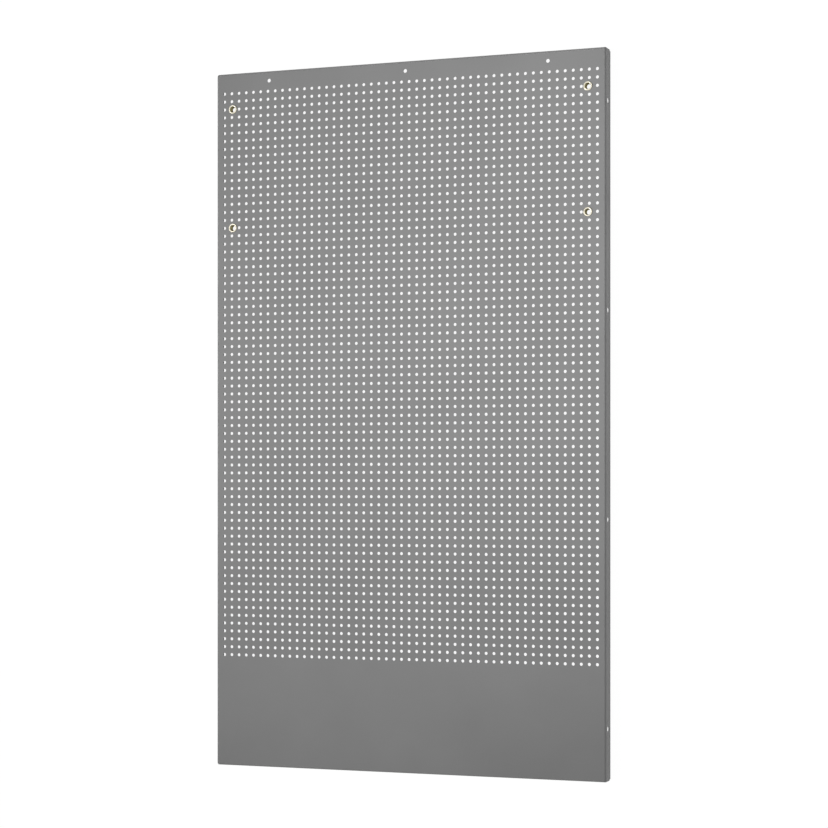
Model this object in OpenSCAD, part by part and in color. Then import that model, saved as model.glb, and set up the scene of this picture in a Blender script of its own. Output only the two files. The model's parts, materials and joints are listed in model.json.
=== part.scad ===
// Steel pegboard panel: one perforated sheet folded into a shallow tray, with four blind rivet nuts.
// It lies face up on the back edges of its folds. X runs across the panel, Y points to its top edge
// and Z points out of its face. The origin is under the middle of the panel, on the floor.

/* [Panel] */
// Width over the side folds
panel_w = 767; // [467:15:1067]
// Height over the top and bottom folds
panel_h = 1313; // [773:15:1613]
// Depth from the face to the back edges of the folds
fold_depth = 29; // [25:1:60]
// Thickness of the sheet
sheet_t = 1.2; // [0.8:0.1:2]
// Outside radius of the bends
bend_r = 3.5; // [2.2:0.1:5]

/* [Peg holes] */
// Distance from hole to hole, both ways
peg_pitch = 15; // [12:0.5:30]
// Diameter of a peg hole, with its coating
peg_hole_d = 5.8; // [4:0.1:8]
// Least distance from a side of the panel to the nearest column
side_margin = 16; // [10:0.5:60]
// Distance from the top edge to the first row
top_margin = 38; // [28:0.5:80]
// Least height of the bare band under the last row
bottom_band = 210; // [30:5:300]
// Least width of steel left between a peg hole and any other fitting
steel_land = 1; // [0.5:0.1:3]

/* [Hanging holes] */
// Diameter of the hanging holes near the top edge
hang_hole_d = 7; // [5:0.5:10]
// Distance from the top edge to the hanging holes
hang_drop = 18; // [10:0.5:20]
// Distance from a side of the panel to the outer hanging holes
hang_inset = 108.5; // [40:0.5:200]

/* [Side holes] */
// Diameter of the screw holes in the side folds
side_hole_d = 10; // [5:0.5:12]
// Number of screw holes in each side fold
side_hole_count = 4; // [2:1:8]
// Distance from the ends of the panel to the outer screw holes
side_hole_inset = 94; // [30:0.5:150]
// Distance from the back edge of a side fold to its screw holes
side_hole_edge = 14.5; // [8:0.5:16]

/* [Rivet nuts] */
// Distance from a side of the panel to the rivet nuts
nut_inset = 33.5; // [22:0.5:60]
// Distance from the top edge to the upper rivet nuts
nut_drop = 68; // [30:0.5:120]
// Distance between the upper and lower rivet nuts
nut_spacing = 225; // [60:5:450]
// Diameter of the head on the face
nut_head_d = 16; // [14.5:0.5:20]
// Thickness of the head
nut_head_t = 1.5; // [1:0.1:2]
// Radius on the rim of the head
nut_rim_r = 0.6; // [0.2:0.1:0.9]
// Diameter of the shank in the sheet
nut_shank_d = 13; // [12.4:0.1:14]
// Play between the shank and its hole, on the radius
nut_play = 0.05; // [0.02:0.01:0.2]
// Length of the shank behind the face
nut_length = 10.5; // [9.5:0.5:20]
// Chamfer round the mouth
nut_mouth_c = 0.7; // [0.2:0.1:0.9]
// Diameter of the plain bore behind the mouth
nut_bore_d = 11.4; // [10:0.1:11.6]
// Diameter of the tapped bore, inside the thread
nut_tap_d = 9; // [6.8:0.1:9.4]
// Length of the tapped bore at the far end
nut_tap_l = 5.5; // [4:0.5:6]
// Height of the collar that the setting tool squeezed out behind the sheet
nut_collar_h = 3; // [2:0.1:4]
// Diameter of that collar
nut_collar_d = 16.6; // [16:0.1:19]

/* [Hidden] */
// Bands of eight rows or so that hold the face, from the top down, with no gap between them
band_count = 9;
$fn = 72;

// How far a cutter runs past the steel
overcut = 1;
coat_grey = "#8a8a8a";
zinc_yellow = "#d9cda0";

// Flat area of the face between the bends, and the straight leg of a fold under its bend
face_w = panel_w - 2 * bend_r;
face_h = panel_h - 2 * bend_r;
leg_h = fold_depth - bend_r;

// Rivet nuts and hanging holes, measured in from the edges of the panel
nut_x = panel_w / 2 - nut_inset;
nut_upper_y = panel_h / 2 - nut_drop;
nut_lower_y = nut_upper_y - nut_spacing;
nut_points = [for (x = [-nut_x, nut_x], y = [nut_upper_y, nut_lower_y]) [x, y]];
nut_hole_d = nut_shank_d + 2 * nut_play;
hang_x = panel_w / 2 - hang_inset;
hang_points = [for (x = [-hang_x, 0, hang_x]) [x, panel_h / 2 - hang_drop]];

// Screw holes in the side folds, evenly spaced between the outer two
side_hole_span = panel_h - 2 * side_hole_inset;
side_hole_step = side_hole_span / (side_hole_count - 1);

// Peg holes: as many columns and rows as fit between the margins, with the columns centred
columns = floor((panel_w - 2 * side_margin) / peg_pitch) + 1;
rows = floor((panel_h - top_margin - bottom_band) / peg_pitch) + 1;
peg_left = -(columns - 1) * peg_pitch / 2;
peg_top = panel_h / 2 - top_margin;
nut_reach = (nut_head_d + peg_hole_d) / 2 + steel_land;
hang_reach = (hang_hole_d + peg_hole_d) / 2 + steel_land;

function stands_off(point, others, reach) = min([for (other = others) norm(point - other)]) >= reach;

function peg_points(from_row, to_row) = [
    for (column = [0 : columns - 1], row = [from_row : to_row])
        let (point = [peg_left + column * peg_pitch, peg_top - row * peg_pitch])
            if (stands_off(point, nut_points, nut_reach) && stands_off(point, hang_points, hang_reach))
                point
];

// Rows are shared out evenly, and two bands meet halfway between two rows
function first_row(band) = floor((band - 1) * rows / band_count);
function band_top(band) =
    band == 1 ? face_h / 2
    : band > band_count ? -face_h / 2
    : peg_top - (first_row(band) - 0.5) * peg_pitch;

// Round holes of one diameter in the flat sheet
module punched(points, diameter) {
    for (point = points)
        translate(point)
            circle(d = diameter);
}

// One band of the face as a flat outline with its holes
module punched_face(band) {
    difference() {
        translate([-face_w / 2, band_top(band + 1)])
            square([face_w, band_top(band) - band_top(band + 1)]);
        punched(peg_points(first_row(band), first_row(band + 1) - 1), peg_hole_d);
        punched(hang_points, hang_hole_d);
        punched(nut_points, nut_hole_d);
    }
}

// Section of a fold, a quarter bend and the straight leg under it, with the bend's centre at the origin
module fold_section() {
    intersection() {
        difference() {
            circle(r = bend_r);
            circle(r = bend_r - sheet_t);
        }
        square(bend_r);
    }
    translate([bend_r - sheet_t, -leg_h])
        square([sheet_t, leg_h]);
}

// One band of the flat face
module face_band(band) {
    color(coat_grey)
        translate([0, 0, fold_depth - sheet_t])
            linear_extrude(height = sheet_t)
                punched_face(band);
}

// A fold along the right edge of a face that reaches out to edge_x
module fold(edge_x, length) {
    translate([edge_x, length / 2, fold_depth - bend_r])
        rotate([90, 0, 0])
            linear_extrude(height = length)
                fold_section();
}

// The right fold with its screw holes, which are evenly spaced and so fit the left one too
module side_fold() {
    color(coat_grey)
        difference() {
            fold(face_w / 2, face_h);
            for (i = [0 : side_hole_count - 1])
                translate([face_w / 2, side_hole_span / 2 - i * side_hole_step, side_hole_edge])
                    rotate([0, 90, 0])
                        cylinder(d = side_hole_d, h = bend_r + overcut);
        }
}

// The folds of the top and bottom edges are plain
module end_fold() {
    color(coat_grey)
        fold(face_h / 2, face_w);
}

module fold_left() { rotate([0, 0, 180]) side_fold(); }
module fold_right() { side_fold(); }
module fold_top() { rotate([0, 0, 90]) end_fold(); }
module fold_bottom() { rotate([0, 0, 270]) end_fold(); }

// Half section of the solid metal of a set rivet nut, with the face of the sheet at y = 0
module nut_metal() {
    square([nut_head_d / 2, nut_head_t - nut_rim_r]);
    square([nut_head_d / 2 - nut_rim_r, nut_head_t]);
    translate([nut_head_d / 2 - nut_rim_r, nut_head_t - nut_rim_r])
        circle(r = nut_rim_r);
    translate([0, -nut_length])
        square([nut_shank_d / 2, nut_length]);
    translate([0, -sheet_t - nut_collar_h])
        square([(nut_collar_d - nut_collar_h) / 2, nut_collar_h]);
    translate([(nut_collar_d - nut_collar_h) / 2, -sheet_t - nut_collar_h / 2])
        circle(d = nut_collar_h);
}

// Half section of the bore: chamfered at the mouth, plain, then a short cone down to the tapped end
module nut_bore() {
    tap_top = -nut_length + nut_tap_l;
    cone_h = (nut_bore_d - nut_tap_d) / 2;
    polygon([
        [0, -nut_length - overcut],
        [nut_tap_d / 2, -nut_length - overcut],
        [nut_tap_d / 2, tap_top],
        [nut_bore_d / 2, tap_top + cone_h],
        [nut_bore_d / 2, nut_head_t - nut_mouth_c],
        [nut_bore_d / 2 + nut_mouth_c + overcut, nut_head_t + overcut],
        [0, nut_head_t + overcut]
    ]);
}

// A set rivet nut with its head down on the face of the panel
module rivet_nut(x, y) {
    color(zinc_yellow)
        translate([x, y, fold_depth])
            rotate_extrude()
                difference() {
                    intersection() {
                        nut_metal();
                        translate([0, -nut_length])
                            square([nut_collar_d, nut_length + nut_head_t]);
                    }
                    nut_bore();
                }
}

module rivet_nut_upper_left() { rivet_nut(-nut_x, nut_upper_y); }
module rivet_nut_upper_right() { rivet_nut(nut_x, nut_upper_y); }
module rivet_nut_lower_left() { rivet_nut(-nut_x, nut_lower_y); }
module rivet_nut_lower_right() { rivet_nut(nut_x, nut_lower_y); }

for (band = [1 : band_count])
    face_band(band);
fold_left();
fold_right();
fold_top();
fold_bottom();
rivet_nut_upper_left();
rivet_nut_upper_right();
rivet_nut_lower_left();
rivet_nut_lower_right();
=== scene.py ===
"""Steel pegboard panel: a punched sheet folded into a shallow tray, with four rivet nuts set in its face."""
import json
import math

import bmesh
import bpy
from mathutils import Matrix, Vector


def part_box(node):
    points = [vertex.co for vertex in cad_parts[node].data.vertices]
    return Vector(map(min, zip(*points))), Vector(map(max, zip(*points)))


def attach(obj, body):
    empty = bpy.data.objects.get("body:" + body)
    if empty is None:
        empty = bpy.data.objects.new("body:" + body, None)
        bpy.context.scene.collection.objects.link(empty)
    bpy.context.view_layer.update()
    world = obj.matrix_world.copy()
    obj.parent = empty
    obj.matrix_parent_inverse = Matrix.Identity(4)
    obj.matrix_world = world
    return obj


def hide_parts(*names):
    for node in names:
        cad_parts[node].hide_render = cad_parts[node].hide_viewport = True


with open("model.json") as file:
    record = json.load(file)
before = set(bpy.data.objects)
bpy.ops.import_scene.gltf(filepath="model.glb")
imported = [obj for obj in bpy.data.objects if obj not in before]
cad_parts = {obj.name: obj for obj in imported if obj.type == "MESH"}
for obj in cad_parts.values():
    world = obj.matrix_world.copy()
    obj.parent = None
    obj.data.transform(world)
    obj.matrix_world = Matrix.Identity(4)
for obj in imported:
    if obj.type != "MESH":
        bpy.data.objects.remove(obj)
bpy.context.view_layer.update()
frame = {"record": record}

bl_info = {
    "name": "Steel Pegboard Panel",
    "version": (1, 0, 0),
    "blender": (4, 5, 0),
    "location": "View3D > Sidebar > Pegboard",
    "description": "Builds a folded, perforated steel panel with rivet nuts on a plain stage",
    "category": "Object",
}

MM = 0.001
IMAGE_SIDE = 828
SENSOR_MM = 36.0
HALF_TURN = (0.0, 0.0, math.pi)
# Name of the mask of points inside the nuts' bores, where the plating's colour gives way to painted shade
BORE_SHADE_MASK = "bore"

# Kinds of sockets in the node trees, and the sockets of a node that mixes colours
FLOAT, WHOLE, VECTOR = "NodeSocketFloat", "NodeSocketInt", "NodeSocketVector"
SHAPE, FINISH = "NodeSocketGeometry", "NodeSocketMaterial"
MIX_SHARE, MIX_FIRST, MIX_SECOND, MIX_RESULT = 0, 6, 7, 2

# Meshes: how near two places count as one, how steep an edge stays sharp, and how finely curves are divided
SAME_PLACE = 0.001 * MM
SAME_WALL = 0.01 * MM
SHARP_ANGLE = math.radians(40)
NUT_HOLE_SIDES = 40
LARGE_HOLE_SIDES = 32
MOUTH_STEPS = 5
RIM_STEPS = 6
COLLAR_STEPS = 10
END_STEPS = 4
THREAD_STEPS = 8

# The grid of peg holes is filled in at most this many blocks across and up
MOST_BLOCKS_ACROSS = 10
MOST_BLOCKS_UP = 12

# Where the outline of a side leg's ear turns in, as a share of the leg's depth and of the ear's length
EAR_SHOULDER = 0.7

# Added to a fold's reach, in metres, it leaves a point out of that fold
OUT_OF_REACH = 10.0

# Noise of coated surfaces: the range that its values mostly keep to, its detail,
# and the share that dimples have in the relief
NOISE_LOW, NOISE_HIGH = 0.3, 0.7
PATCH_DETAIL, PATCH_ROUGHNESS = 3.0, 0.55
GRAIN_DETAIL, GRAIN_ROUGHNESS = 2.0, 0.6
DIMPLE_SHARE = 0.6

# The powder coat: sizes of its patches and grain, their shares, darkest and lightest tone, gloss and relief
COAT_PATCH, COAT_GRAIN = 0.18, 1.3 * MM
COAT_PATCH_SHARE = 0.65
COAT_TONES = (0.93, 1.07)
COAT_ROUGHNESS = (0.44, 0.56)
COAT_SPECULAR = 0.4
COAT_BUMP, COAT_RELIEF = 0.35, 0.08 * MM

# The plating of the nuts, likewise
PLATE_PATCH, PLATE_GRAIN = 4.0 * MM, 0.35 * MM
PLATE_ROUGHNESS = (0.30, 0.44)
PLATE_BUMP, PLATE_RELIEF = 0.2, 0.02 * MM

MOUNTS = {mount["name"]: mount for mount in frame["record"]["mounts"]}
FACE_NODES = [f"face_band_{number}" for number in range(1, 10)]
FOLD_NODES = ["fold_left", "fold_right", "fold_top", "fold_bottom"]
NUT_NODES = [f"rivet_nut_{level}_{side}" for level in ("upper", "lower") for side in ("left", "right")]


def stated(mount_name, dimension):
    """A stated size of a mount, in metres"""
    return MOUNTS[mount_name]["dims"][dimension] * MM


def place(mount_name):
    """Middle of a mount, in metres"""
    return MOUNTS[mount_name]["pos_m"]


def length(name, description, default):
    """A size that a user may change, in metres"""
    return bpy.props.FloatProperty(
        name=name, description=description, default=default, precision=4, unit="LENGTH", subtype="DISTANCE"
    )


def colour(name, description, default):
    """A colour that a user may change"""
    return bpy.props.FloatVectorProperty(
        name=name, description=description, default=default, size=3, min=0.0, max=1.0, subtype="COLOR"
    )


def count(name, description, default):
    """A number of like things"""
    return bpy.props.IntProperty(name=name, description=description, default=default, min=1)


def amount(name, description, default):
    """A plain factor"""
    return bpy.props.FloatProperty(name=name, description=description, default=default, min=0.0)


def position(name, description, default):
    """A place that a user may change, in metres"""
    return bpy.props.FloatVectorProperty(
        name=name, description=description, default=default, size=3, unit="LENGTH", subtype="TRANSLATION"
    )


def angle(name, description, degrees):
    """A turn that a user may change, given in degrees"""
    return bpy.props.FloatProperty(
        name=name, description=description, default=math.radians(degrees), subtype="ANGLE"
    )


# Corners of the solids' boxes, and places and sizes of the stated holes
FACE_LOW, FACE_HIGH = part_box("face_band_1")
RIGHT_LOW, RIGHT_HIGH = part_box("fold_right")
LEFT_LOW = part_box("fold_left")[0]
TOP_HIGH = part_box("fold_top")[1]
BOTTOM_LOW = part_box("fold_bottom")[0]
PEG_COLUMNS, PEG_ROWS = 50, 72
FIRST_PEG = place("peg_hole_r01_c01")
LAST_PEG = place(f"peg_hole_r{PEG_ROWS}_c{PEG_COLUMNS}")
PEG_RADIUS = stated("peg_hole_r01_c01", "r_mm")
PEG_PITCH = (LAST_PEG[0] - FIRST_PEG[0]) / (PEG_COLUMNS - 1)
HANG_COUNT = 3
HANG_SPACING, HANG_ROW, _ = place("hang_hole_right")
SCREWS = "side_screws_right_outer"
NUT_LOW, NUT_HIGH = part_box("rivet_nut_upper_right")
NUT_UPPER = place("nut_thread_upper_right")
NUT_LOWER = place("nut_thread_lower_right")
NUT_THREAD = "nut_thread_upper_left"
NUT_HEAD_RADIUS = 8.0 * MM
NUT_SHANK_RADIUS = 6.5 * MM
NUT_PLAY = 0.05 * MM
STEEL_LAND = 1.0 * MM


class PegboardSheet(bpy.types.PropertyGroup):
    """Sizes of the folded sheet"""

    width: length("Width", "Width over the side folds", RIGHT_HIGH[0] - LEFT_LOW[0])
    height: length("Height", "Height over the end folds", TOP_HIGH[1] - BOTTOM_LOW[1])
    depth: length("Depth", "From the face to the back edges of the folds", FACE_HIGH[2])
    thickness: length("Thickness", "Thickness of the sheet", FACE_HIGH[2] - FACE_LOW[2])
    bend_radius: length("Bend Radius", "Outside radius of the bends", RIGHT_HIGH[0] - RIGHT_LOW[0])
    bend_segments: count("Bend Segments", "Flat strips round each bend", 10)
    ear: length("Fold Ear", "How far the legs of the folds reach past the corners of the face", 2.1 * MM)
    pitch: length("Peg Pitch", "From peg hole to peg hole", PEG_PITCH)
    columns: count("Columns", "Columns of peg holes", PEG_COLUMNS)
    rows: count("Rows", "Rows of peg holes", PEG_ROWS)
    first_row: length("First Row", "How far the first row lies above the middle of the panel", FIRST_PEG[1])
    peg_radius: length("Peg Hole Radius", "Radius of a peg hole", PEG_RADIUS)
    peg_sides: count("Peg Hole Sides", "Straight sides of a peg hole's mesh", 12)
    hang_radius: length(
        "Hanging Hole Radius", "Radius of the holes above the grid", stated("hang_hole_right", "r_mm")
    )
    hang_spacing: length("Hanging Hole Spacing", "From hanging hole to hanging hole", HANG_SPACING)
    hang_row: length("Hanging Row", "How far the hanging holes lie above the middle", HANG_ROW)
    screw_radius: length(
        "Screw Hole Radius", "Radius of the holes in the side folds", stated(SCREWS, "hole_r_mm")
    )
    screw_count: count("Screw Holes", "Screw holes in each side fold", 4)
    screw_span: length("Screw Span", "Between the outer screw holes", stated(SCREWS, "spacing_x_mm"))
    screw_edge: length("Screw Edge", "From a fold's back edge to its holes", place(SCREWS)[2])
    nut_hole_radius: length(
        "Nut Hole Radius", "Radius of the holes that the rivet nuts sit in", NUT_SHANK_RADIUS + NUT_PLAY
    )
    nut_column: length("Nut Column", "How far the rivet nuts lie from the middle", NUT_UPPER[0])
    nut_middle: length(
        "Nut Middle", "How far the middle of the nuts lies above the panel's",
        (NUT_UPPER[1] + NUT_LOWER[1]) / 2,
    )
    nut_spacing: length("Nut Spacing", "Between the upper and lower nuts", NUT_UPPER[1] - NUT_LOWER[1])
    nut_reach: length(
        "Nut Reach", "Peg holes nearer than this to a nut are left out",
        NUT_HEAD_RADIUS + PEG_RADIUS + STEEL_LAND,
    )
    steel: colour("Coat", "Colour of the powder coat", (0.25, 0.25, 0.25))


class PegboardNuts(bpy.types.PropertyGroup):
    """Sizes of the set rivet nuts"""

    head_radius: length("Head Radius", "Radius of the head on the face", NUT_HEAD_RADIUS)
    head_height: length("Head Height", "Height of the head over the face", NUT_HIGH[2] - FACE_HIGH[2])
    rim_radius: length("Rim Radius", "Radius on the rim of the head", 0.6 * MM)
    mouth_radius: length("Mouth Rounding", "Radius on the edge of the mouth", 0.7 * MM)
    shank_radius: length("Shank Radius", "Radius of the shank", NUT_SHANK_RADIUS)
    shank_length: length("Shank Length", "Length of the shank behind the face", FACE_HIGH[2] - NUT_LOW[2])
    end_radius: length("End Rounding", "Radius on the far end of the shank", 0.4 * MM)
    collar_radius: length("Collar Radius", "Radius of the squeezed collar", (NUT_HIGH[0] - NUT_LOW[0]) / 2)
    collar_height: length("Collar Height", "Height of the squeezed collar", 3.0 * MM)
    bore_radius: length("Bore Radius", "Radius of the plain bore", stated("nut_mouth_upper_left", "r_mm"))
    tap_radius: length(
        "Tap Radius", "Radius of the tapped bore inside its thread", stated(NUT_THREAD, "r_mm")
    )
    tap_length: length("Tap Length", "Length of the tapped bore", stated(NUT_THREAD, "length_mm"))
    tap_chamfer: length("Tap Chamfer", "Chamfer at the far end of the tapped bore", 0.5 * MM)
    thread_pitch: length("Thread Pitch", "From thread to thread", 1.0 * MM)
    thread_depth: length("Thread Depth", "Depth of the thread", 0.5 * MM)
    sides: count("Sides", "Straight sides round a nut", 48)
    plate: colour("Plate", "Colour of the yellow plating", (0.66, 0.61, 0.47))
    plate_pale: colour("Pale Plate", "Colour of the plating where it is thin", (0.74, 0.71, 0.61))
    # Painted shade: this dark colour stands in for the shade that falls inside the bore
    bore: colour("Bore", "Colour of the painted shade inside the bore", (0.30, 0.27, 0.14))


class PegboardStage(bpy.types.PropertyGroup):
    """Camera, floor and lamp"""

    camera_place: position("Camera", "Where the camera stands", (1.490, -0.1434, 3.924))
    camera_turn: angle("Camera Turn", "How far the camera looks to the left of straight down", 20.71)
    focal_pixels: amount("Focal Length", "Focal length of the view, in pixels", 2262.0)
    rise_pixels: amount("Rise", "How far the middle of the view lies over the optical axis, in pixels", 81.0)
    floor_size: length("Floor Size", "Side of the square floor", 14.0)
    floor: colour("Floor", "Colour of the floor", (0.86, 0.86, 0.86))
    backdrop: amount("Backdrop", "How white the floor looks to the camera where no light reaches", 0.96)
    shadow: amount("Shadow", "How much the light on the floor adds to that white", 0.12)
    lamp_place: position("Lamp", "Where the soft lamp hangs", (-1.70, -0.47, 2.30))
    lamp_aim: position("Lamp Aim", "The spot that the lamp points at", (0.58, 0.45, 0.0))
    lamp_size: length("Lamp Size", "Side of the square lamp", 1.5)
    lamp_spread: angle("Lamp Spread", "How wide the lamp's beam opens", 37.0)
    lamp_power: amount("Lamp Power", "Power of the lamp, in watts", 6.9)
    sky: amount("Sky", "Strength of the even light from all round", 0.37)


class Wiring:
    """Adds nodes to a tree and feeds them with links or plain values"""

    COLUMN = 190
    ROW = 260
    PER_COLUMN = 5

    def __init__(self, tree):
        self.tree = tree
        self.made = 0
        self.given = None

    def node(self, kind, inputs=None, **settings):
        """A new node with its settings, and a link or a value for each named or numbered input"""
        node = self.tree.nodes.new(kind)
        column, line = divmod(self.made, self.PER_COLUMN)
        node.location = (column * self.COLUMN, -line * self.ROW)
        self.made += 1
        for key, value in settings.items():
            setattr(node, key, value)
        for key, value in (inputs or {}).items():
            self.feed(node.inputs[key], value)
        return node

    def feed(self, socket, value):
        """Link another node's output, several of them, or set a plain value"""
        if isinstance(value, list):
            for part in value:
                self.tree.links.new(part, socket)
        elif isinstance(value, bpy.types.NodeSocket):
            self.tree.links.new(value, socket)
        else:
            socket.default_value = value

    def math(self, operation, *values, clamp=False):
        """One step of arithmetic"""
        node = self.node("ShaderNodeMath", dict(enumerate(values)), operation=operation, use_clamp=clamp)
        return node.outputs[0]

    def point(self, x=0.0, y=0.0, z=0.0):
        """A vector from three numbers"""
        return self.node("ShaderNodeCombineXYZ", {0: x, 1: y, 2: z}).outputs[0]

    def spot(self):
        """The three coordinates of each point"""
        spot = self.node("GeometryNodeInputPosition").outputs[0]
        return self.node("ShaderNodeSeparateXYZ", {0: spot}).outputs

    def join(self, *parts):
        """Several geometries as one"""
        return self.node("GeometryNodeJoinGeometry", {"Geometry": list(reversed(parts))}).outputs[0]

    def moved(self, geometry, translation=None, rotation=None):
        """A geometry put elsewhere or turned"""
        inputs = {"Geometry": geometry}
        if translation is not None:
            inputs["Translation"] = translation
        if rotation is not None:
            inputs["Rotation"] = rotation
        return self.node("GeometryNodeTransform", inputs).outputs[0]

    def weld(self, geometry):
        """Points that lie in one place become one"""
        inputs = {"Geometry": geometry, "Distance": SAME_PLACE}
        return self.node("GeometryNodeMergeByDistance", inputs).outputs[0]


def new_tree(name, kind, inputs, outputs):
    """An empty node tree with named sockets, wired to its own input node"""
    tree = bpy.data.node_groups.new(name, kind)
    for label, socket in inputs:
        tree.interface.new_socket(label, in_out="INPUT", socket_type=socket)
    for label, socket in outputs:
        tree.interface.new_socket(label, in_out="OUTPUT", socket_type=socket)
    wiring = Wiring(tree)
    wiring.given = wiring.node("NodeGroupInput").outputs
    return wiring


def shaded(w, mesh, *sharp):
    """A smooth mesh that keeps its steep edges sharp, and the other edges that are named"""
    corner = w.node("GeometryNodeInputMeshEdgeAngle").outputs["Unsigned Angle"]
    steep = w.math("GREATER_THAN", corner, SHARP_ANGLE)
    inputs = {"Geometry": mesh, "Shade Smooth": True}
    smooth = w.node("GeometryNodeSetShadeSmooth", inputs, domain="FACE").outputs[0]
    for edges in (steep, *sharp):
        inputs = {"Geometry": smooth, "Selection": edges, "Shade Smooth": False}
        smooth = w.node("GeometryNodeSetShadeSmooth", inputs, domain="EDGE").outputs[0]
    return smooth


def ended(w, label, shape):
    """A tree that ends with its shape made real and given its finish"""
    whole = w.node("GeometryNodeRealizeInstances", {"Geometry": shape}).outputs[0]
    inputs = {"Geometry": whole, "Material": w.given["Finish"]}
    w.node("NodeGroupOutput", {label: w.node("GeometryNodeSetMaterial", inputs).outputs[0]})
    return w.tree


def fold_tree():
    """How a point of the flat blank moves when one pair of edges is folded down"""
    w = new_tree(
        "Fold over an edge", "GeometryNodeTree",
        [("Coordinate", FLOAT), ("Reach", FLOAT), ("Bend Length", FLOAT), ("Radius", FLOAT)],
        [("Folded", FLOAT), ("Cosine", FLOAT), ("Drop", FLOAT)],
    )
    out = w.math("ABSOLUTE", w.given["Coordinate"])
    past = w.math("SUBTRACT", out, w.given["Reach"])
    share = w.math("DIVIDE", past, w.given["Bend Length"], clamp=True)
    turn = w.math("MULTIPLY", share, math.pi / 2)
    flat = w.math("MINIMUM", out, w.given["Reach"])
    folded_out = w.math("MULTIPLY_ADD", w.given["Radius"], w.math("SINE", turn), flat)
    drop = w.math("MAXIMUM", w.math("SUBTRACT", past, w.given["Bend Length"]), 0.0)
    w.node("NodeGroupOutput", {
        "Folded": w.math("MULTIPLY", folded_out, w.math("SIGN", w.given["Coordinate"])),
        "Cosine": w.math("COSINE", turn),
        "Drop": drop,
    })
    return w.tree


def grid(w, width, height, across, up, middle):
    """A flat grid of points round a place, as a mesh"""
    inputs = {"Size X": width, "Size Y": height, "Vertices X": across, "Vertices Y": up}
    return w.moved(w.node("GeometryNodeMeshGrid", inputs).outputs["Mesh"], middle)


def row(w, number, start, step):
    """Points in a row"""
    inputs = {"Count": number, "Start Location": start, "Offset": step}
    return w.node("GeometryNodeMeshLine", inputs).outputs[0]


def punched(w, points, radius, sides):
    """Circles on points, as curves"""
    inputs = {"Resolution": sides, "Radius": radius}
    circle = w.node("GeometryNodeCurvePrimitiveCircle", inputs).outputs["Curve"]
    holes = w.node("GeometryNodeInstanceOnPoints", {"Points": points, "Instance": circle}).outputs[0]
    return w.node("GeometryNodeRealizeInstances", {"Geometry": holes}).outputs[0]


def filled(w, *curves, group=0):
    """Closed curves filled as a flat mesh, where a curve inside another is a hole"""
    inputs = {"Curve": w.join(*curves), "Group ID": group}
    return w.node("GeometryNodeFillCurve", inputs, mode="TRIANGLES").outputs[0]


def plate(w, width, height, *holes, translation=None):
    """A flat rectangle with holes, as a mesh"""
    inputs = {"Width": width, "Height": height}
    outline = w.node("GeometryNodeCurvePrimitiveQuadrilateral", inputs).outputs[0]
    if translation is not None:
        outline = w.moved(outline, translation)
    return filled(w, outline, *holes)


def ear(w, *corners):
    """A small flat piece that a leg of a fold ends in, from four corners"""
    inputs = {f"Point {number}": corner for number, corner in enumerate(corners, 1)}
    outline = w.node("GeometryNodeCurvePrimitiveQuadrilateral", inputs, mode="POINTS").outputs[0]
    return filled(w, outline)


class Blank:
    """Lengths of the flat blank: its face between the bend lines, and the bend and leg along each edge"""

    def __init__(self, w):
        given = w.given
        self.face_w = w.math("MULTIPLY_ADD", given["Bend Radius"], -2.0, given["Width"])
        self.face_h = w.math("MULTIPLY_ADD", given["Bend Radius"], -2.0, given["Height"])
        self.reach_x = w.math("DIVIDE", self.face_w, 2.0)
        self.reach_y = w.math("DIVIDE", self.face_h, 2.0)
        middle_radius = w.math("MULTIPLY_ADD", given["Thickness"], -0.5, given["Bend Radius"])
        self.bend = w.math("MULTIPLY", middle_radius, math.pi / 2)
        self.bend_rows = w.math("ADD", given["Bend Segments"], 1.0)
        self.leg = w.math("SUBTRACT", given["Depth"], given["Bend Radius"])


def peg_field(w, width, height, middle, *holes):
    """The part of the face that the peg holes take up, and its rim as a curve

    It is filled in blocks of a few dozen holes, which takes far less time than all of them at once.
    """
    across, up = w.given["Blocks Across"], w.given["Blocks Up"]
    lines_across, lines_up = w.math("ADD", across, 1.0), w.math("ADD", up, 1.0)
    blocks = grid(w, width, height, lines_across, lines_up, w.point(y=middle))
    on_rim = w.math("LESS_THAN", w.node("GeometryNodeInputMeshEdgeNeighbors").outputs[0], 2.0)
    rim = w.node("GeometryNodeMeshToCurve", {"Mesh": blocks, "Selection": on_rim}).outputs[0]
    apart = w.node("GeometryNodeSplitEdges", {"Mesh": blocks}).outputs[0]
    outlines = w.node("GeometryNodeMeshToCurve", {"Mesh": apart}).outputs[0]
    x, y, _ = w.spot()
    share_x = w.math("ADD", w.math("DIVIDE", x, width), 0.5)
    share_y = w.math("ADD", w.math("DIVIDE", w.math("SUBTRACT", y, middle), height), 0.5)
    block_column = w.math("FLOOR", w.math("MULTIPLY", share_x, across))
    block_row = w.math("FLOOR", w.math("MULTIPLY", share_y, up))
    block = w.math("MULTIPLY_ADD", block_row, across, block_column)
    return filled(w, outlines, *holes, group=block), rim


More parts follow.
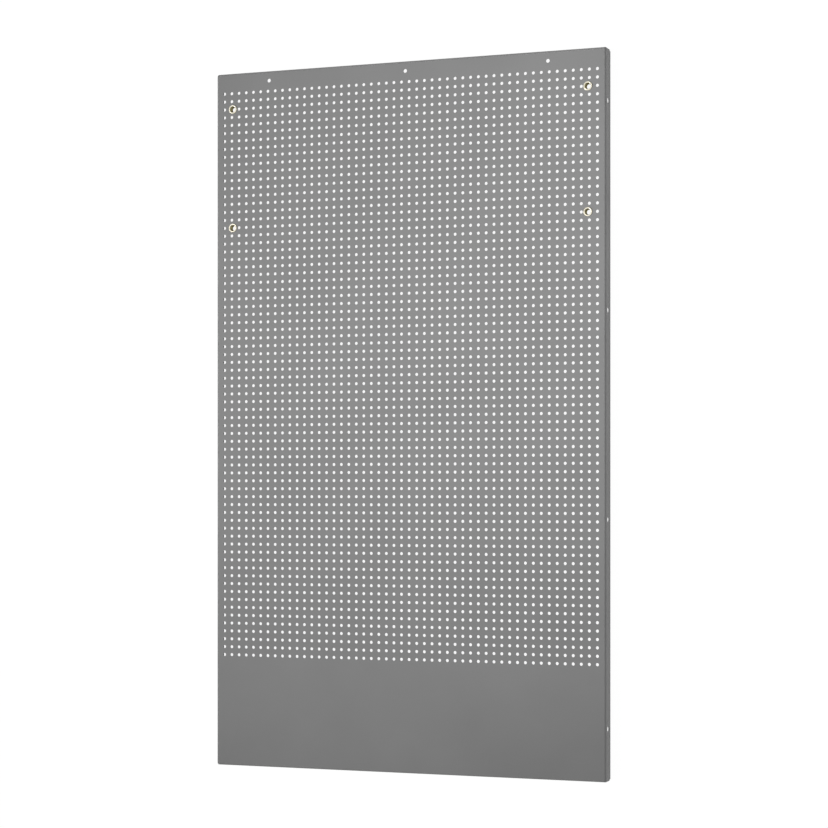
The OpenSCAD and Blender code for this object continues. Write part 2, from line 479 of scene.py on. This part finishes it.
def punched_face(w, blank):
    """The flat face with all its holes"""
    given = w.given
    nut_width = w.math("MULTIPLY", given["Nut Column"], 2.0)
    nuts = grid(w, nut_width, given["Nut Spacing"], 2, 2, w.point(y=given["Nut Middle"]))

    # Peg holes that a nut would touch are left out
    grid_w = w.math("MULTIPLY", w.math("SUBTRACT", given["Columns"], 1.0), given["Pitch"])
    grid_h = w.math("MULTIPLY", w.math("SUBTRACT", given["Rows"], 1.0), given["Pitch"])
    middle = w.math("MULTIPLY_ADD", grid_h, -0.5, given["First Row"])
    pegs = grid(w, grid_w, grid_h, given["Columns"], given["Rows"], w.point(y=middle))
    off_nut = w.node("GeometryNodeProximity", {0: nuts}, target_element="POINTS").outputs["Distance"]
    taken = {"Geometry": pegs, "Selection": w.math("LESS_THAN", off_nut, given["Nut Reach"])}
    pegs = w.node("GeometryNodeDeleteGeometry", taken, domain="POINT").outputs[0]

    hang_left = w.math("MULTIPLY", given["Hang Spacing"], -(HANG_COUNT - 1) / 2)
    hangs = row(w, HANG_COUNT, w.point(hang_left, given["Hang Row"]), w.point(given["Hang Spacing"]))
    field, rim = peg_field(
        w, w.math("ADD", grid_w, given["Pitch"]), w.math("ADD", grid_h, given["Pitch"]), middle,
        punched(w, pegs, given["Peg Radius"], given["Peg Sides"]),
        punched(w, nuts, given["Nut Hole Radius"], NUT_HOLE_SIDES),
    )
    hang_holes = punched(w, hangs, given["Hang Radius"], LARGE_HOLE_SIDES)
    return w.join(field, plate(w, blank.face_w, blank.face_h, rim, hang_holes))


def side_edge(w, blank):
    """The right edge of the blank: a strip that becomes the bend, and the leg with its screw holes"""
    given = w.given
    strip_middle = w.point(w.math("MULTIPLY_ADD", blank.bend, 0.5, blank.reach_x))
    strip = grid(w, blank.bend, blank.face_h, blank.bend_rows, 2, strip_middle)
    start = w.math("ADD", blank.reach_x, blank.bend)
    end = w.math("ADD", start, blank.leg)
    first_screw = w.point(
        w.math("SUBTRACT", end, given["Screw Edge"]), w.math("MULTIPLY", given["Screw Span"], 0.5)
    )
    gaps = w.math("SUBTRACT", given["Screw Count"], 1.0)
    step = w.math("MULTIPLY", w.math("DIVIDE", given["Screw Span"], gaps), -1.0)
    screws = row(w, given["Screw Count"], first_screw, w.point(y=step))
    screw_holes = punched(w, screws, given["Screw Radius"], LARGE_HOLE_SIDES)
    leg_middle = w.point(w.math("MULTIPLY_ADD", blank.leg, 0.5, start))
    edge = w.join(strip, plate(w, blank.leg, blank.face_h, screw_holes, translation=leg_middle))

    # Each end of the leg has an ear with a sloping outline
    shoulder_x = w.math("MULTIPLY_ADD", blank.leg, EAR_SHOULDER, start)
    for sign in (1.0, -1.0):
        corner_y = w.math("MULTIPLY", blank.reach_y, sign)
        tip_y = w.math("MULTIPLY_ADD", given["Ear"], sign, corner_y)
        shoulder_y = w.math("MULTIPLY_ADD", given["Ear"], sign * EAR_SHOULDER, corner_y)
        edge = w.join(edge, ear(
            w, w.point(start, corner_y), w.point(start, tip_y),
            w.point(shoulder_x, shoulder_y), w.point(end, corner_y),
        ))
    return edge


def end_edge(w, blank):
    """The top edge of the blank: a strip that becomes the bend, and a plain leg with square ears"""
    strip_middle = w.point(y=w.math("MULTIPLY_ADD", blank.bend, 0.5, blank.reach_y))
    strip = grid(w, blank.face_w, blank.bend, 2, blank.bend_rows, strip_middle)
    start = w.math("ADD", blank.reach_y, blank.bend)
    end = w.math("ADD", start, blank.leg)
    leg_middle = w.point(y=w.math("MULTIPLY_ADD", blank.leg, 0.5, start))
    edge = w.join(strip, plate(w, blank.face_w, blank.leg, translation=leg_middle))
    for sign in (1.0, -1.0):
        corner_x = w.math("MULTIPLY", blank.reach_x, sign)
        tip_x = w.math("MULTIPLY_ADD", w.given["Ear"], sign, corner_x)
        edge = w.join(edge, ear(
            w, w.point(corner_x, start), w.point(tip_x, start), w.point(tip_x, end), w.point(corner_x, end),
        ))
    return edge


def thickened(w, flat):
    """A flat mesh raised by the thickness of the sheet and closed all round"""
    raised = w.node("GeometryNodeExtrudeMesh", {
        "Mesh": flat, "Offset": w.point(z=1.0), "Offset Scale": w.given["Thickness"], "Individual": False,
    }).outputs["Mesh"]
    under = w.node("GeometryNodeFlipFaces", {"Mesh": flat}).outputs[0]
    return w.weld(w.join(raised, under))


def folded(w, blank, mesh):
    """The blank with its edges folded down, sharp at its cut edges and where a flat meets a bend"""
    x, y, z = w.spot()
    on_line, on_leg = [], []
    for coordinate, reach in ((x, blank.reach_x), (y, blank.reach_y)):
        past = w.math("SUBTRACT", w.math("ABSOLUTE", coordinate), reach)
        on_line.append(w.math("COMPARE", past, 0.0, SAME_PLACE))
        on_line.append(w.math("COMPARE", past, blank.bend, SAME_PLACE))
        on_leg.append(w.math("GREATER_THAN", past, w.math("SUBTRACT", blank.bend, SAME_PLACE)))
    any_line = w.math("MAXIMUM", w.math("MAXIMUM", *on_line[:2]), w.math("MAXIMUM", *on_line[2:]))
    bend_lines = w.node(
        "FunctionNodeCompare", {0: any_line, 1: 0.5}, data_type="FLOAT", operation="GREATER_THAN"
    ).outputs[0]
    smooth = shaded(w, mesh, bend_lines)

    # A leg that one fold turns down is out of the other fold's reach
    inside = w.math("SUBTRACT", w.given["Bend Radius"], w.given["Thickness"])
    radius = w.math("ADD", inside, z)
    fold = fold_tree()
    turned = []
    for coordinate, reach, other_leg in ((x, blank.reach_x, on_leg[1]), (y, blank.reach_y, on_leg[0])):
        group = w.node("GeometryNodeGroup", node_tree=fold)
        w.feed(group.inputs["Coordinate"], coordinate)
        w.feed(group.inputs["Reach"], w.math("MULTIPLY_ADD", other_leg, OUT_OF_REACH, reach))
        w.feed(group.inputs["Bend Length"], blank.bend)
        w.feed(group.inputs["Radius"], radius)
        turned.append(group.outputs)
    sides, ends = turned
    rise = w.math("MULTIPLY", radius, w.math("MULTIPLY", sides["Cosine"], ends["Cosine"]))
    drop = w.math("ADD", sides["Drop"], ends["Drop"])
    height = w.math("ADD", blank.leg, w.math("SUBTRACT", rise, drop))
    spot = w.point(sides["Folded"], ends["Folded"], height)
    return w.node("GeometryNodeSetPosition", {"Geometry": smooth, "Position": spot}).outputs[0]


def sheet_tree():
    """A flat blank, punched, given its thickness and folded into a tray"""
    sizes = (
        "Width", "Height", "Depth", "Thickness", "Bend Radius", "Ear", "Pitch", "First Row", "Peg Radius",
        "Hang Radius", "Hang Spacing", "Hang Row", "Screw Radius", "Screw Span", "Screw Edge",
        "Nut Hole Radius", "Nut Column", "Nut Middle", "Nut Spacing", "Nut Reach",
    )
    counts = ("Bend Segments", "Columns", "Rows", "Blocks Across", "Blocks Up", "Peg Sides", "Screw Count")
    inputs = [(label, FLOAT) for label in sizes] + [(label, WHOLE) for label in counts]
    w = new_tree(
        "Punched and folded sheet", "GeometryNodeTree", inputs + [("Finish", FINISH)], [("Sheet", SHAPE)]
    )
    blank = Blank(w)
    face = punched_face(w, blank)
    right, top = side_edge(w, blank), end_edge(w, blank)
    left, bottom = w.moved(right, rotation=HALF_TURN), w.moved(top, rotation=HALF_TURN)
    flat = w.weld(w.join(face, right, left, top, bottom))
    return ended(w, "Sheet", folded(w, blank, thickened(w, flat)))


def nut_tree():
    """A half section turned into a rivet nut, with a helical thread in its tapped bore"""
    sizes = ("Thread Pitch", "Thread Depth", "Bore Radius", "Tap Radius", "Tap Bottom", "Tap Top")
    w = new_tree(
        "Set rivet nut", "GeometryNodeTree",
        [("Half Section", SHAPE), ("Place", VECTOR), ("Sides", WHOLE), ("Finish", FINISH)]
        + [(label, FLOAT) for label in sizes],
        [("Nut", SHAPE)],
    )
    given = w.given
    section = w.node("GeometryNodeMeshToCurve", {"Mesh": given["Half Section"]}).outputs[0]
    section = w.moved(section, w.point(w.math("MULTIPLY", given["Tap Radius"], -1.0)))
    inputs = {"Resolution": given["Sides"], "Radius": given["Tap Radius"]}
    path = w.node("GeometryNodeCurvePrimitiveCircle", inputs).outputs["Curve"]
    turned = w.node("GeometryNodeCurveToMesh", {"Curve": path, "Profile Curve": section}).outputs[0]

    # The thread is cut outwards from the tapped wall, and runs out at both ends
    x, y, z = w.spot()
    radius = w.math("SQRT", w.math("ADD", w.math("MULTIPLY", x, x), w.math("MULTIPLY", y, y)))
    turn = w.math("DIVIDE", w.math("ARCTAN2", y, x), 2 * math.pi)
    phase = w.math("FRACT", w.math("SUBTRACT", w.math("DIVIDE", z, given["Thread Pitch"]), turn))
    wave = w.math("MULTIPLY", w.math("PINGPONG", phase, 0.5), 2.0)
    over_bottom, under_top = (
        w.math("DIVIDE", w.math("SUBTRACT", high, low), given["Thread Pitch"], clamp=True)
        for high, low in ((z, given["Tap Bottom"]), (given["Tap Top"], z))
    )
    full_cut = w.math("MULTIPLY", wave, given["Thread Depth"])
    cut = w.math("MULTIPLY", full_cut, w.math("MULTIPLY", over_bottom, under_top))
    outward = w.node("ShaderNodeVectorMath", {0: w.point(x, y)}, operation="NORMALIZE").outputs[0]
    shift = w.node("ShaderNodeVectorMath", {0: outward, "Scale": cut}, operation="SCALE").outputs[0]
    tapped = w.math("LESS_THAN", radius, w.math("ADD", given["Tap Radius"], SAME_WALL))
    # Points inside the plain bore are marked, so that the finish can paint shade there
    inside = w.math("LESS_THAN", radius, w.math("ADD", given["Bore Radius"], SAME_WALL))
    inputs = {"Geometry": turned, "Name": BORE_SHADE_MASK, "Value": inside}
    marked = w.node("GeometryNodeStoreNamedAttribute", inputs).outputs[0]
    inputs = {"Geometry": marked, "Selection": tapped, "Offset": shift}
    threaded = w.node("GeometryNodeSetPosition", inputs).outputs[0]
    return ended(w, "Nut", w.moved(shaded(w, threaded), given["Place"]))


def shaped(name, mesh, tree, values):
    """A plain mesh object from a geometry tree run on a starting mesh"""
    piece = bpy.data.objects.new(name, mesh)
    modifier = piece.modifiers.new(tree.name, "NODES")
    modifier.node_group = tree
    sockets = {item.name: item.identifier for item in tree.interface.items_tree if item.in_out == "INPUT"}
    for label, value in values.items():
        modifier[sockets[label]] = value
    bpy.context.collection.objects.link(piece)
    depsgraph = bpy.context.evaluated_depsgraph_get()
    made = bpy.data.meshes.new_from_object(piece.evaluated_get(depsgraph))
    piece.modifiers.clear()
    piece.data = made
    made.name = name
    facing_out(made)
    return piece


def facing_out(mesh):
    """Every face of a closed mesh points outwards"""
    if not mesh.polygons:
        raise RuntimeError(f"{mesh.name} came out empty")
    shell = bmesh.new()
    shell.from_mesh(mesh)
    bmesh.ops.recalc_face_normals(shell, faces=shell.faces)
    open_edges = sum(1 for edge in shell.edges if not edge.is_manifold)
    shell.to_mesh(mesh)
    shell.free()
    if open_edges:
        raise RuntimeError(f"{mesh.name} has {open_edges} open edges")


def unevenness_tree():
    """Soft patches and fine grain of a coated or plated surface"""
    w = new_tree(
        "Coating unevenness", "ShaderNodeTree",
        [("Patch Size", FLOAT), ("Grain Size", FLOAT)],
        [("Patches", FLOAT), ("Grain", FLOAT), ("Relief", FLOAT)],
    )
    spot = w.node("ShaderNodeTexCoord").outputs["Object"]
    patch_scale = w.math("DIVIDE", 1.0, w.given["Patch Size"])
    grain_scale = w.math("DIVIDE", 1.0, w.given["Grain Size"])
    patches = w.node("ShaderNodeTexNoise", {
        "Vector": spot, "Scale": patch_scale, "Detail": PATCH_DETAIL, "Roughness": PATCH_ROUGHNESS,
    }).outputs[0]
    grain = w.node("ShaderNodeTexNoise", {
        "Vector": spot, "Scale": grain_scale, "Detail": GRAIN_DETAIL, "Roughness": GRAIN_ROUGHNESS,
    }).outputs[0]
    dimples = w.node("ShaderNodeTexVoronoi", {
        "Vector": spot, "Scale": grain_scale, "Smoothness": 1.0,
    }, feature="SMOOTH_F1").outputs["Distance"]
    grain_relief = w.math("MULTIPLY", grain, 1.0 - DIMPLE_SHARE)
    w.node("NodeGroupOutput", {
        "Patches": patches,
        "Grain": grain,
        "Relief": w.math("MULTIPLY_ADD", dimples, DIMPLE_SHARE, grain_relief),
    })
    return w.tree


def unevenness():
    """The one tree that the coat and the plating share"""
    return bpy.data.node_groups.get("Coating unevenness") or unevenness_tree()


def new_material(name):
    """An empty node material with a wiring helper"""
    material = bpy.data.materials.new(name)
    material.use_nodes = True
    material.node_tree.nodes.clear()
    return material, Wiring(material.node_tree)


def new_shader(w):
    """The one shader of a solid material"""
    shader = w.node("ShaderNodeBsdfPrincipled")
    w.node("ShaderNodeOutputMaterial", {"Surface": shader.outputs[0]})
    return shader


def stretched(w, value, low, high):
    """A noise value stretched to a range"""
    return w.node("ShaderNodeMapRange", {
        "Value": value, "From Min": NOISE_LOW, "From Max": NOISE_HIGH, "To Min": low, "To Max": high,
    }).outputs[0]


def mixed(w, first, second, share):
    """A colour between two"""
    inputs = {MIX_SHARE: share, MIX_FIRST: first, MIX_SECOND: second}
    return w.node("ShaderNodeMix", inputs, data_type="RGBA").outputs[MIX_RESULT]


def opaque(rgb):
    """A colour as the four numbers that a socket takes"""
    return (*rgb, 1.0)


def uneven_surface(w, patch_size, grain_size):
    """The shared unevenness with a material's own sizes"""
    node = w.node("ShaderNodeGroup", node_tree=unevenness())
    node.inputs["Patch Size"].default_value = patch_size
    node.inputs["Grain Size"].default_value = grain_size
    return node.outputs


def roughen(w, shader, uneven, roughness, strength, relief):
    """Give a shader the roughness and the fine relief of its uneven surface"""
    w.feed(shader.inputs["Roughness"], stretched(w, uneven["Grain"], *roughness))
    bump = w.node("ShaderNodeBump", {"Strength": strength, "Distance": relief, "Height": uneven["Relief"]})
    w.feed(shader.inputs["Normal"], bump.outputs[0])


def powder_coat(base):
    """Satin grey powder coat with a faint orange peel"""
    material, w = new_material("grey powder coat")
    shader = new_shader(w)
    uneven = uneven_surface(w, COAT_PATCH, COAT_GRAIN)
    patches = w.math("MULTIPLY", uneven["Patches"], COAT_PATCH_SHARE)
    share = w.math("MULTIPLY_ADD", uneven["Grain"], 1.0 - COAT_PATCH_SHARE, patches)
    dark, light = (opaque(channel * tone for channel in base) for tone in COAT_TONES)
    w.feed(shader.inputs["Base Color"], mixed(w, dark, light, stretched(w, share, 0.0, 1.0)))
    shader.inputs["Specular IOR Level"].default_value = COAT_SPECULAR
    roughen(w, shader, uneven, COAT_ROUGHNESS, COAT_BUMP, COAT_RELIEF)
    return material


def yellow_plate(dark, pale, bore):
    """Yellow-passivated zinc: metallic, with pale patches, and painted shade inside the bore"""
    material, w = new_material("yellow zinc plate")
    shader = new_shader(w)
    uneven = uneven_surface(w, PLATE_PATCH, PLATE_GRAIN)
    inside = w.node("ShaderNodeAttribute", attribute_name=BORE_SHADE_MASK).outputs["Fac"]
    plating = mixed(w, opaque(dark), opaque(pale), stretched(w, uneven["Patches"], 0.0, 1.0))
    # Painted shade: inside the bore the plating gives way to the dark bore colour
    w.feed(shader.inputs["Base Color"], mixed(w, plating, opaque(bore), inside))
    shader.inputs["Metallic"].default_value = 1.0
    roughen(w, shader, uneven, PLATE_ROUGHNESS, PLATE_BUMP, PLATE_RELIEF)
    return material


def same_area(radius, sides):
    """Radius to the corners of a many-sided hole that is as large as a round one"""
    return radius * math.sqrt(2 * math.pi / (sides * math.sin(2 * math.pi / sides)))


def even_share(holes, most):
    """The largest number of blocks, up to a limit, that shares a line of holes out evenly"""
    return max(number for number in range(1, most + 1) if holes % number == 0)


class PEGBOARD_OT_fold_sheet(bpy.types.Operator):
    """Punch the blank, fold it into a tray and coat it"""

    bl_idname = "pegboard.fold_sheet"
    bl_label = "Fold Sheet"

    def execute(self, context):
        """Make the sheet as one unbroken piece"""
        s = context.scene.pegboard_sheet
        sheet = shaped("perforated_sheet", bpy.data.meshes.new("perforated_sheet"), sheet_tree(), {
            "Width": s.width, "Height": s.height, "Depth": s.depth, "Thickness": s.thickness,
            "Bend Radius": s.bend_radius, "Bend Segments": s.bend_segments, "Ear": s.ear,
            "Pitch": s.pitch, "Columns": s.columns, "Rows": s.rows, "First Row": s.first_row,
            "Blocks Across": even_share(s.columns, MOST_BLOCKS_ACROSS),
            "Blocks Up": even_share(s.rows, MOST_BLOCKS_UP),
            "Peg Radius": same_area(s.peg_radius, s.peg_sides), "Peg Sides": s.peg_sides,
            "Hang Radius": s.hang_radius, "Hang Spacing": s.hang_spacing, "Hang Row": s.hang_row,
            "Screw Radius": s.screw_radius, "Screw Count": s.screw_count,
            "Screw Span": s.screw_span, "Screw Edge": s.screw_edge,
            "Nut Hole Radius": s.nut_hole_radius, "Nut Column": s.nut_column, "Nut Middle": s.nut_middle,
            "Nut Spacing": s.nut_spacing, "Nut Reach": s.nut_reach,
            "Finish": powder_coat(s.steel),
        })
        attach(sheet, "root")
        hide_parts(*FACE_NODES, *FOLD_NODES)
        return {"FINISHED"}


def arc(centre, radius, start, end, steps):
    """Points round part of a circle, as (radius, height), with angles in degrees"""
    turns = (math.radians(start + (end - start) * step / steps) for step in range(steps + 1))
    return [(centre[0] + radius * math.cos(turn), centre[1] + radius * math.sin(turn)) for turn in turns]


def nut_section(s, sheet_thickness):
    """Half section of a set rivet nut, as a closed loop of (radius, height) with the face at height 0"""
    collar_half = s.collar_height / 2
    mouth = (s.bore_radius + s.mouth_radius, s.head_height - s.mouth_radius)
    rim = (s.head_radius - s.rim_radius, s.head_height - s.rim_radius)
    collar = (s.collar_radius - collar_half, -sheet_thickness - collar_half)
    end = (s.shank_radius - s.end_radius, s.end_radius - s.shank_length)
    loop = arc(mouth, s.mouth_radius, 180, 90, MOUTH_STEPS)
    loop += arc(rim, s.rim_radius, 90, 0, RIM_STEPS)
    loop += [(s.head_radius, 0.0), (s.shank_radius, 0.0), (s.shank_radius, -sheet_thickness)]
    loop += arc(collar, collar_half, 90, -90, COLLAR_STEPS)
    loop += [(s.shank_radius, -sheet_thickness - s.collar_height)]
    loop += arc(end, s.end_radius, 0, -90, END_STEPS)
    loop += [(s.tap_radius + s.tap_chamfer, -s.shank_length)]

    # The tapped wall, in steps that are fine enough to carry the thread, and the cone up to the plain bore
    wall_bottom = s.tap_chamfer - s.shank_length
    wall_length = s.tap_length - s.tap_chamfer
    steps = round(wall_length / s.thread_pitch * THREAD_STEPS)
    loop += [(s.tap_radius, wall_bottom + wall_length * step / steps) for step in range(steps + 1)]
    loop += [(s.bore_radius, wall_bottom + wall_length + s.bore_radius - s.tap_radius)]
    return loop


class PEGBOARD_OT_set_rivet_nuts(bpy.types.Operator):
    """Set the four rivet nuts in the face"""

    bl_idname = "pegboard.set_rivet_nuts"
    bl_label = "Set Rivet Nuts"

    def execute(self, context):
        """Turn each nut from its half section, where its solid is"""
        s, sheet = context.scene.pegboard_nuts, context.scene.pegboard_sheet
        loop = nut_section(s, sheet.thickness)
        points = [(radius, -height, 0.0) for radius, height in loop]
        links = [(index, (index + 1) % len(loop)) for index in range(len(loop))]
        tree = nut_tree()
        # The bore colour handed to the finish is painted shade
        finish = yellow_plate(s.plate, s.plate_pale, s.bore)
        for node in NUT_NODES:
            x, y, _ = place(node.replace("rivet_nut", "nut_thread"))
            section = bpy.data.meshes.new(node)
            section.from_pydata(points, links, [])
            nut = shaped(f"{node}_threaded", section, tree, {
                "Place": (x, y, sheet.depth), "Sides": s.sides,
                "Thread Pitch": s.thread_pitch, "Thread Depth": s.thread_depth,
                "Bore Radius": s.bore_radius, "Tap Radius": s.tap_radius,
                "Tap Bottom": -s.shank_length, "Tap Top": s.tap_length - s.shank_length, "Finish": finish,
            })
            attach(nut, "root")
            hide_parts(node)
        return {"FINISHED"}


def looked_at(w):
    """One where a surface is seen straight, reflected or through glass, zero where it only gives light"""
    path = w.node("ShaderNodeLightPath").outputs
    seen = w.math("MAXIMUM", path["Is Camera Ray"], path["Is Glossy Ray"])
    return w.math("MAXIMUM", seen, path["Is Transmission Ray"])


class PEGBOARD_OT_set_stage(bpy.types.Operator):
    """Lay the floor, hang the lamp and place the camera"""

    bl_idname = "pegboard.set_stage"
    bl_label = "Set Stage"

    def execute(self, context):
        """Make a plain pale studio seen from the photograph's angle"""
        s = context.scene.pegboard_stage
        self.lay_floor(context, s)
        self.hang_lamp(context, s)
        self.place_camera(context, s)
        context.scene.view_settings.view_transform = "Standard"
        return {"FINISHED"}

    def lay_floor(self, context, s):
        """A floor that is white to the camera and keeps a soft shadow"""
        half = s.floor_size / 2
        corners = [(-half, -half, 0.0), (half, -half, 0.0), (half, half, 0.0), (-half, half, 0.0)]
        mesh = bpy.data.meshes.new("floor")
        mesh.from_pydata(corners, [], [(0, 1, 2, 3)])
        floor = bpy.data.objects.new("floor", mesh)
        context.collection.objects.link(floor)
        material, w = new_material("pale floor")
        plain = w.node("ShaderNodeBsdfDiffuse", {"Color": opaque(s.floor)}).outputs[0]
        glow = w.node("ShaderNodeEmission", {"Strength": s.backdrop}).outputs[0]
        faint = w.node("ShaderNodeBsdfDiffuse", {"Color": opaque([s.shadow] * 3)}).outputs[0]
        white = w.node("ShaderNodeAddShader", {0: glow, 1: faint}).outputs[0]
        surface = w.node("ShaderNodeMixShader", {0: looked_at(w), 1: plain, 2: white}).outputs[0]
        w.node("ShaderNodeOutputMaterial", {"Surface": surface})
        mesh.materials.append(material)

    def hang_lamp(self, context, s):
        """A large soft lamp at the left and an even sky"""
        light = bpy.data.lights.new("soft lamp", "AREA")
        light.energy = s.lamp_power
        light.size = s.lamp_size
        light.spread = s.lamp_spread
        lamp = bpy.data.objects.new("soft lamp", light)
        lamp.location = s.lamp_place
        backwards = Vector(s.lamp_place) - Vector(s.lamp_aim)
        lamp.rotation_euler = backwards.to_track_quat("Z", "Y").to_euler()
        lamp.visible_camera = False
        context.collection.objects.link(lamp)
        world = bpy.data.worlds.new("studio")
        world.use_nodes = True
        world.node_tree.nodes.clear()
        w = Wiring(world.node_tree)
        strength = w.math("MULTIPLY_ADD", looked_at(w), 1.0 - s.sky, s.sky)
        white = {"Color": (1.0, 1.0, 1.0, 1.0), "Strength": strength}
        w.node("ShaderNodeOutputWorld", {"Surface": w.node("ShaderNodeBackground", white).outputs[0]})
        context.scene.world = world

    def place_camera(self, context, s):
        """The camera looks down on the panel, turned to the left"""
        view = bpy.data.cameras.new("camera")
        view.sensor_width = SENSOR_MM
        view.lens = s.focal_pixels / IMAGE_SIDE * SENSOR_MM
        view.shift_y = s.rise_pixels / IMAGE_SIDE
        camera = bpy.data.objects.new("camera", view)
        camera.location = s.camera_place
        camera.rotation_euler = (0.0, s.camera_turn, 0.0)
        context.collection.objects.link(camera)
        context.scene.camera = camera


class PEGBOARD_PT_panel(bpy.types.Panel):
    """Sizes, finishes and steps of the pegboard"""

    bl_idname = "PEGBOARD_PT_panel"
    bl_label = "Pegboard"
    bl_space_type = "VIEW_3D"
    bl_region_type = "UI"
    bl_category = "Pegboard"

    def draw(self, context):
        """List each step under its own settings"""
        steps = (
            (context.scene.pegboard_sheet, PEGBOARD_OT_fold_sheet),
            (context.scene.pegboard_nuts, PEGBOARD_OT_set_rivet_nuts),
            (context.scene.pegboard_stage, PEGBOARD_OT_set_stage),
        )
        for settings, step in steps:
            box = self.layout.box()
            for name in type(settings).__annotations__:
                box.prop(settings, name)
            box.operator(step.bl_idname)


SETTINGS = (
    ("pegboard_sheet", PegboardSheet),
    ("pegboard_nuts", PegboardNuts),
    ("pegboard_stage", PegboardStage),
)
CLASSES = (PEGBOARD_OT_fold_sheet, PEGBOARD_OT_set_rivet_nuts, PEGBOARD_OT_set_stage, PEGBOARD_PT_panel)


def register():
    """Make the settings, the steps and the panel known"""
    for name, group in SETTINGS:
        bpy.utils.register_class(group)
        setattr(bpy.types.Scene, name, bpy.props.PointerProperty(type=group))
    for item in CLASSES:
        bpy.utils.register_class(item)


def unregister():
    """Take the settings, the steps and the panel away"""
    for item in reversed(CLASSES):
        bpy.utils.unregister_class(item)
    for name, group in reversed(SETTINGS):
        delattr(bpy.types.Scene, name)
        bpy.utils.unregister_class(group)


def main():
    """Build the panel and its stage"""
    register()
    bpy.ops.pegboard.fold_sheet()
    bpy.ops.pegboard.set_rivet_nuts()
    bpy.ops.pegboard.set_stage()


if __name__ == "__main__":
    main()
